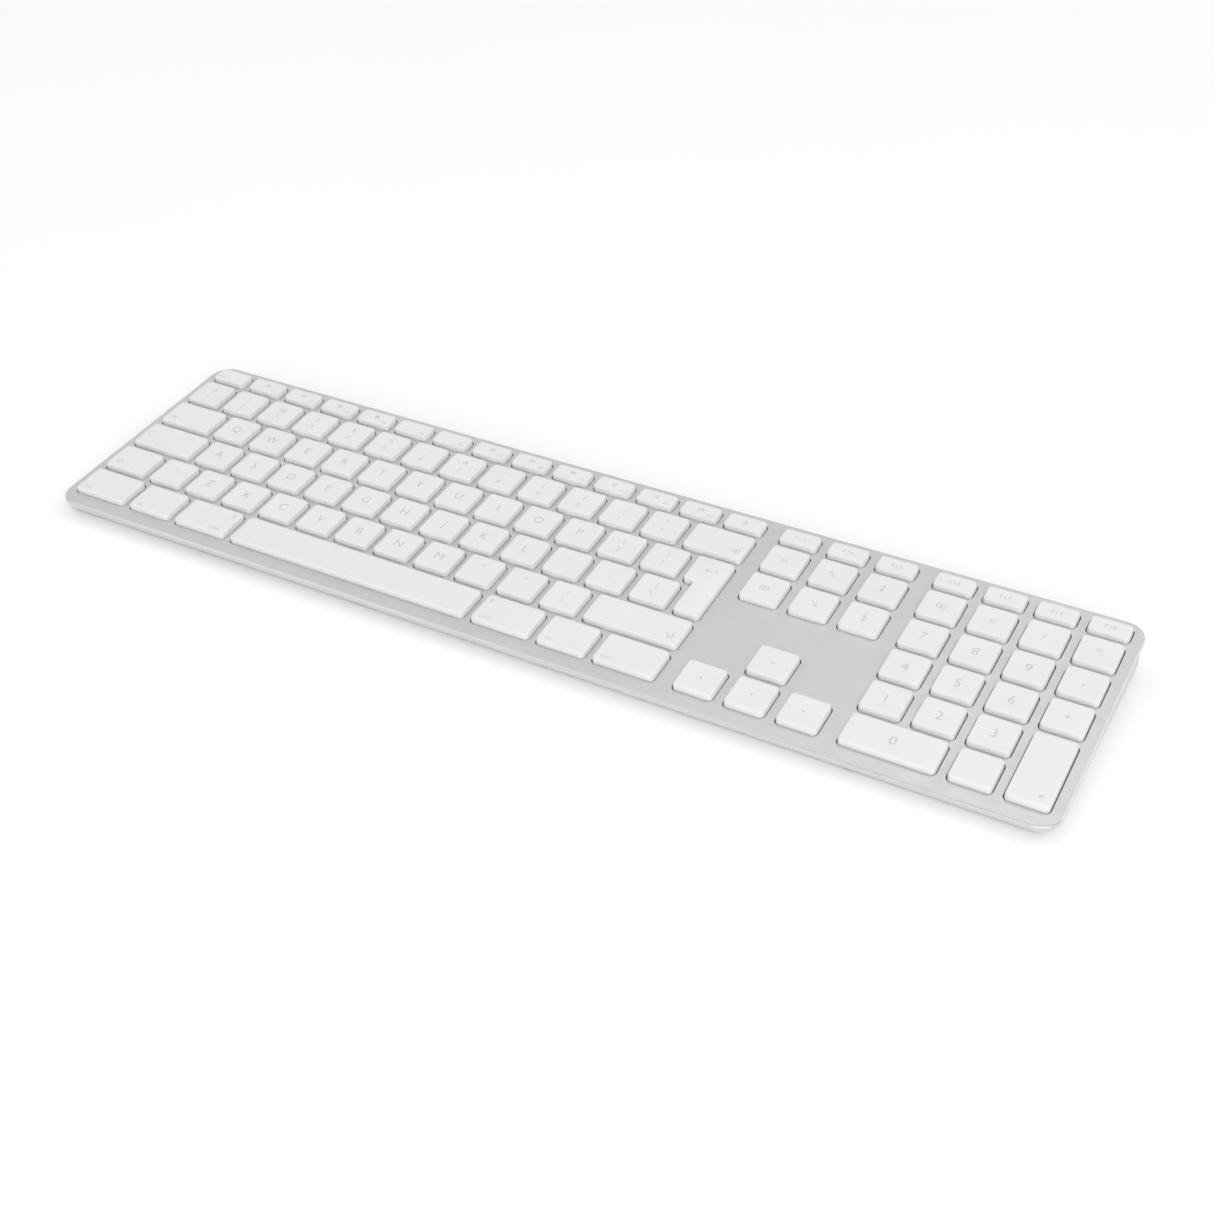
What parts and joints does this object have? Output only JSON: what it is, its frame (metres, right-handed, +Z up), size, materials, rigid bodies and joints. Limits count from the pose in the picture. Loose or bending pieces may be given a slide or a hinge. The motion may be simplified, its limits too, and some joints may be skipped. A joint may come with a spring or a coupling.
{
  "type": "desktop keyboard with numeric keypad",
  "caption": "Slim wedge-shaped desktop keyboard with numeric keypad: aluminium deck, flat white keys set in cut-outs, white plastic lower cover on round rubber feet.",
  "frame": {"origin": "on the desk, under the centre of the outer box of the keyboard", "axes": "+X to the right along the key rows, +Y away from the typist, +Z up from the desk"},
  "size_m": [0.4284, 0.1124, 0.0182],
  "materials": {
    "anodised_aluminium": "fine bead-blasted, clear anodised, satin",
    "cover_plastic": "white moulded, satin",
    "keycap_plastic": "white moulded, smooth matt, light grey printed legends",
    "zinc_steel": "zinc plated",
    "tinned_steel": "tin plated",
    "foot_rubber": "soft matt",
    "polyester_film": "thin printed film",
    "dome_silicone": "dark grey, matt",
    "circuit_board": "green solder mask",
    "battery_foil": "silver laminate pouch",
    "slider_plastic": "black, fine texture",
    "light_window": "frosted"
  },
  "bodies": {
    "case": {"battery_cell": "battery_foil", "dome_sheet": "dome_silicone", "foot_front_left": "foot_rubber", "foot_front_right": "foot_rubber", "foot_rear_left": "foot_rubber", "foot_rear_right": "foot_rubber", "key_support_plate": "zinc_steel", "lower_cover": "cover_plastic", "main_circuit_board": "circuit_board", "membrane_sheet": "polyester_film", "membrane_tail": "polyester_film", "screw_front_left": "zinc_steel", "screw_front_right": "zinc_steel", "screw_rear_left": "zinc_steel", "screw_rear_right": "zinc_steel", "slide_switch_body": "tinned_steel", "status_light_pipe": "light_window", "top_case": "anodised_aluminium", "usb_socket": "tinned_steel"},
    "power_slider_body": {"power_slider": "slider_plastic"},
    "key_arrow_down_body": {"key_arrow_down": "keycap_plastic"},
    "key_arrow_left_body": {"key_arrow_left": "keycap_plastic"},
    "key_arrow_right_body": {"key_arrow_right": "keycap_plastic"},
    "key_arrow_up_body": {"key_arrow_up": "keycap_plastic"},
    "key_end_body": {"key_end": "keycap_plastic"},
    "key_fn_body": {"key_fn": "keycap_plastic"},
    "key_forward_delete_body": {"key_forward_delete": "keycap_plastic"},
    "key_home_body": {"key_home": "keycap_plastic"},
    "key_pad_0_body": {"key_pad_0": "keycap_plastic"},
    "key_pad_1_body": {"key_pad_1": "keycap_plastic"},
    "key_pad_2_body": {"key_pad_2": "keycap_plastic"},
    "key_pad_3_body": {"key_pad_3": "keycap_plastic"},
    "key_pad_4_body": {"key_pad_4": "keycap_plastic"},
    "key_pad_5_body": {"key_pad_5": "keycap_plastic"},
    "key_pad_6_body": {"key_pad_6": "keycap_plastic"},
    "key_pad_7_body": {"key_pad_7": "keycap_plastic"},
    "key_pad_8_body": {"key_pad_8": "keycap_plastic"},
    "key_pad_9_body": {"key_pad_9": "keycap_plastic"},
    "key_pad_clear_body": {"key_pad_clear": "keycap_plastic"},
    "key_pad_decimal_body": {"key_pad_decimal": "keycap_plastic"},
    "key_pad_divide_body": {"key_pad_divide": "keycap_plastic"},
    "key_pad_enter_body": {"key_pad_enter": "keycap_plastic"},
    "key_pad_equals_body": {"key_pad_equals": "keycap_plastic"},
    "key_pad_minus_body": {"key_pad_minus": "keycap_plastic"},
    "key_pad_multiply_body": {"key_pad_multiply": "keycap_plastic"},
    "key_pad_plus_body": {"key_pad_plus": "keycap_plastic"},
    "key_page_down_body": {"key_page_down": "keycap_plastic"},
    "key_page_up_body": {"key_page_up": "keycap_plastic"},
    "key_return_body": {"key_return": "keycap_plastic"},
    "key_space_body": {"key_space": "keycap_plastic"},
    "keys_bottom_letter_row_body": {"keys_bottom_letter_row": "keycap_plastic"},
    "keys_function_main_body": {"keys_function_main": "keycap_plastic"},
    "keys_function_nav_body": {"keys_function_nav": "keycap_plastic"},
    "keys_function_pad_body": {"keys_function_pad": "keycap_plastic"},
    "keys_home_row_body": {"keys_home_row": "keycap_plastic"},
    "keys_modifiers_left_body": {"keys_modifiers_left": "keycap_plastic"},
    "keys_modifiers_right_body": {"keys_modifiers_right": "keycap_plastic"},
    "keys_number_row_body": {"keys_number_row": "keycap_plastic"},
    "keys_top_letter_row_body": {"keys_top_letter_row": "keycap_plastic"}
  },
  "joints": [
    {"name": "key_arrow_down_press", "type": "slide", "parent": "case", "child": "key_arrow_down_body", "axis": [0, 0.0929, -0.9957], "range_m": [0, 0.0015], "stiffness_N_per_m": 350, "springref_m": -0.0006, "deforming": ["dome_sheet"]},
    {"name": "key_arrow_left_press", "type": "slide", "parent": "case", "child": "key_arrow_left_body", "axis": [0, 0.0929, -0.9957], "range_m": [0, 0.0015], "stiffness_N_per_m": 350, "springref_m": -0.0006, "deforming": ["dome_sheet"]},
    {"name": "key_arrow_right_press", "type": "slide", "parent": "case", "child": "key_arrow_right_body", "axis": [0, 0.0929, -0.9957], "range_m": [0, 0.0015], "stiffness_N_per_m": 350, "springref_m": -0.0006, "deforming": ["dome_sheet"]},
    {"name": "key_arrow_up_press", "type": "slide", "parent": "case", "child": "key_arrow_up_body", "axis": [0, 0.0929, -0.9957], "range_m": [0, 0.0015], "stiffness_N_per_m": 350, "springref_m": -0.0006, "deforming": ["dome_sheet"]},
    {"name": "key_end_press", "type": "slide", "parent": "case", "child": "key_end_body", "axis": [0, 0.0929, -0.9957], "range_m": [0, 0.0015], "stiffness_N_per_m": 350, "springref_m": -0.0006, "deforming": ["dome_sheet"]},
    {"name": "key_fn_press", "type": "slide", "parent": "case", "child": "key_fn_body", "axis": [0, 0.0929, -0.9957], "range_m": [0, 0.0015], "stiffness_N_per_m": 350, "springref_m": -0.0006, "deforming": ["dome_sheet"]},
    {"name": "key_forward_delete_press", "type": "slide", "parent": "case", "child": "key_forward_delete_body", "axis": [0, 0.0929, -0.9957], "range_m": [0, 0.0015], "stiffness_N_per_m": 350, "springref_m": -0.0006, "deforming": ["dome_sheet"]},
    {"name": "key_home_press", "type": "slide", "parent": "case", "child": "key_home_body", "axis": [0, 0.0929, -0.9957], "range_m": [0, 0.0015], "stiffness_N_per_m": 350, "springref_m": -0.0006, "deforming": ["dome_sheet"]},
    {"name": "key_pad_0_press", "type": "slide", "parent": "case", "child": "key_pad_0_body", "axis": [0, 0.0929, -0.9957], "range_m": [0, 0.0015], "stiffness_N_per_m": 350, "springref_m": -0.0006, "deforming": ["dome_sheet"]},
    {"name": "key_pad_1_press", "type": "slide", "parent": "case", "child": "key_pad_1_body", "axis": [0, 0.0929, -0.9957], "range_m": [0, 0.0015], "stiffness_N_per_m": 350, "springref_m": -0.0006, "deforming": ["dome_sheet"]},
    {"name": "key_pad_2_press", "type": "slide", "parent": "case", "child": "key_pad_2_body", "axis": [0, 0.0929, -0.9957], "range_m": [0, 0.0015], "stiffness_N_per_m": 350, "springref_m": -0.0006, "deforming": ["dome_sheet"]},
    {"name": "key_pad_3_press", "type": "slide", "parent": "case", "child": "key_pad_3_body", "axis": [0, 0.0929, -0.9957], "range_m": [0, 0.0015], "stiffness_N_per_m": 350, "springref_m": -0.0006, "deforming": ["dome_sheet"]},
    {"name": "key_pad_4_press", "type": "slide", "parent": "case", "child": "key_pad_4_body", "axis": [0, 0.0929, -0.9957], "range_m": [0, 0.0015], "stiffness_N_per_m": 350, "springref_m": -0.0006, "deforming": ["dome_sheet"]},
    {"name": "key_pad_5_press", "type": "slide", "parent": "case", "child": "key_pad_5_body", "axis": [0, 0.0929, -0.9957], "range_m": [0, 0.0015], "stiffness_N_per_m": 350, "springref_m": -0.0006, "deforming": ["dome_sheet"]},
    {"name": "key_pad_6_press", "type": "slide", "parent": "case", "child": "key_pad_6_body", "axis": [0, 0.0929, -0.9957], "range_m": [0, 0.0015], "stiffness_N_per_m": 350, "springref_m": -0.0006, "deforming": ["dome_sheet"]},
    {"name": "key_pad_7_press", "type": "slide", "parent": "case", "child": "key_pad_7_body", "axis": [0, 0.0929, -0.9957], "range_m": [0, 0.0015], "stiffness_N_per_m": 350, "springref_m": -0.0006, "deforming": ["dome_sheet"]},
    {"name": "key_pad_8_press", "type": "slide", "parent": "case", "child": "key_pad_8_body", "axis": [0, 0.0929, -0.9957], "range_m": [0, 0.0015], "stiffness_N_per_m": 350, "springref_m": -0.0006, "deforming": ["dome_sheet"]},
    {"name": "key_pad_9_press", "type": "slide", "parent": "case", "child": "key_pad_9_body", "axis": [0, 0.0929, -0.9957], "range_m": [0, 0.0015], "stiffness_N_per_m": 350, "springref_m": -0.0006, "deforming": ["dome_sheet"]},
    {"name": "key_pad_clear_press", "type": "slide", "parent": "case", "child": "key_pad_clear_body", "axis": [0, 0.0929, -0.9957], "range_m": [0, 0.0015], "stiffness_N_per_m": 350, "springref_m": -0.0006, "deforming": ["dome_sheet"]},
    {"name": "key_pad_decimal_press", "type": "slide", "parent": "case", "child": "key_pad_decimal_body", "axis": [0, 0.0929, -0.9957], "range_m": [0, 0.0015], "stiffness_N_per_m": 350, "springref_m": -0.0006, "deforming": ["dome_sheet"]},
    {"name": "key_pad_divide_press", "type": "slide", "parent": "case", "child": "key_pad_divide_body", "axis": [0, 0.0929, -0.9957], "range_m": [0, 0.0015], "stiffness_N_per_m": 350, "springref_m": -0.0006, "deforming": ["dome_sheet"]},
    {"name": "key_pad_enter_press", "type": "slide", "parent": "case", "child": "key_pad_enter_body", "axis": [0, 0.0929, -0.9957], "range_m": [0, 0.0015], "stiffness_N_per_m": 350, "springref_m": -0.0006, "deforming": ["dome_sheet"]},
    {"name": "key_pad_equals_press", "type": "slide", "parent": "case", "child": "key_pad_equals_body", "axis": [0, 0.0929, -0.9957], "range_m": [0, 0.0015], "stiffness_N_per_m": 350, "springref_m": -0.0006, "deforming": ["dome_sheet"]},
    {"name": "key_pad_minus_press", "type": "slide", "parent": "case", "child": "key_pad_minus_body", "axis": [0, 0.0929, -0.9957], "range_m": [0, 0.0015], "stiffness_N_per_m": 350, "springref_m": -0.0006, "deforming": ["dome_sheet"]},
    {"name": "key_pad_multiply_press", "type": "slide", "parent": "case", "child": "key_pad_multiply_body", "axis": [0, 0.0929, -0.9957], "range_m": [0, 0.0015], "stiffness_N_per_m": 350, "springref_m": -0.0006, "deforming": ["dome_sheet"]},
    {"name": "key_pad_plus_press", "type": "slide", "parent": "case", "child": "key_pad_plus_body", "axis": [0, 0.0929, -0.9957], "range_m": [0, 0.0015], "stiffness_N_per_m": 350, "springref_m": -0.0006, "deforming": ["dome_sheet"]},
    {"name": "key_page_down_press", "type": "slide", "parent": "case", "child": "key_page_down_body", "axis": [0, 0.0929, -0.9957], "range_m": [0, 0.0015], "stiffness_N_per_m": 350, "springref_m": -0.0006, "deforming": ["dome_sheet"]},
    {"name": "key_page_up_press", "type": "slide", "parent": "case", "child": "key_page_up_body", "axis": [0, 0.0929, -0.9957], "range_m": [0, 0.0015], "stiffness_N_per_m": 350, "springref_m": -0.0006, "deforming": ["dome_sheet"]},
    {"name": "key_return_press", "type": "slide", "parent": "case", "child": "key_return_body", "axis": [0, 0.0929, -0.9957], "range_m": [0, 0.0015], "stiffness_N_per_m": 350, "springref_m": -0.0006, "deforming": ["dome_sheet"]},
    {"name": "key_space_press", "type": "slide", "parent": "case", "child": "key_space_body", "axis": [0, 0.0929, -0.9957], "range_m": [0, 0.0015], "stiffness_N_per_m": 350, "springref_m": -0.0006, "deforming": ["dome_sheet"]},
    {"name": "keys_bottom_letter_row_press", "type": "slide", "parent": "case", "child": "keys_bottom_letter_row_body", "axis": [0, 0.0929, -0.9957], "range_m": [0, 0.0015], "stiffness_N_per_m": 700, "springref_m": -0.0006, "deforming": ["dome_sheet"]},
    {"name": "keys_function_main_press", "type": "slide", "parent": "case", "child": "keys_function_main_body", "axis": [0, 0.0929, -0.9957], "range_m": [0, 0.0015], "stiffness_N_per_m": 700, "springref_m": -0.0006, "deforming": ["dome_sheet"]},
    {"name": "keys_function_nav_press", "type": "slide", "parent": "case", "child": "keys_function_nav_body", "axis": [0, 0.0929, -0.9957], "range_m": [0, 0.0015], "stiffness_N_per_m": 700, "springref_m": -0.0006, "deforming": ["dome_sheet"]},
    {"name": "keys_function_pad_press", "type": "slide", "parent": "case", "child": "keys_function_pad_body", "axis": [0, 0.0929, -0.9957], "range_m": [0, 0.0015], "stiffness_N_per_m": 700, "springref_m": -0.0006, "deforming": ["dome_sheet"]},
    {"name": "keys_home_row_press", "type": "slide", "parent": "case", "child": "keys_home_row_body", "axis": [0, 0.0929, -0.9957], "range_m": [0, 0.0015], "stiffness_N_per_m": 700, "springref_m": -0.0006, "deforming": ["dome_sheet"]},
    {"name": "keys_modifiers_left_press", "type": "slide", "parent": "case", "child": "keys_modifiers_left_body", "axis": [0, 0.0929, -0.9957], "range_m": [0, 0.0015], "stiffness_N_per_m": 700, "springref_m": -0.0006, "deforming": ["dome_sheet"]},
    {"name": "keys_modifiers_right_press", "type": "slide", "parent": "case", "child": "keys_modifiers_right_body", "axis": [0, 0.0929, -0.9957], "range_m": [0, 0.0015], "stiffness_N_per_m": 700, "springref_m": -0.0006, "deforming": ["dome_sheet"]},
    {"name": "keys_number_row_press", "type": "slide", "parent": "case", "child": "keys_number_row_body", "axis": [0, 0.0929, -0.9957], "range_m": [0, 0.0015], "stiffness_N_per_m": 700, "springref_m": -0.0006, "deforming": ["dome_sheet"]},
    {"name": "keys_top_letter_row_press", "type": "slide", "parent": "case", "child": "keys_top_letter_row_body", "axis": [0, 0.0929, -0.9957], "range_m": [0, 0.0015], "stiffness_N_per_m": 700, "springref_m": -0.0006, "deforming": ["dome_sheet"]},
    {"name": "power_slide", "type": "slide", "parent": "case", "child": "power_slider_body", "axis": [1, 0, 0], "range_m": [0, 0.004]}
  ]
}
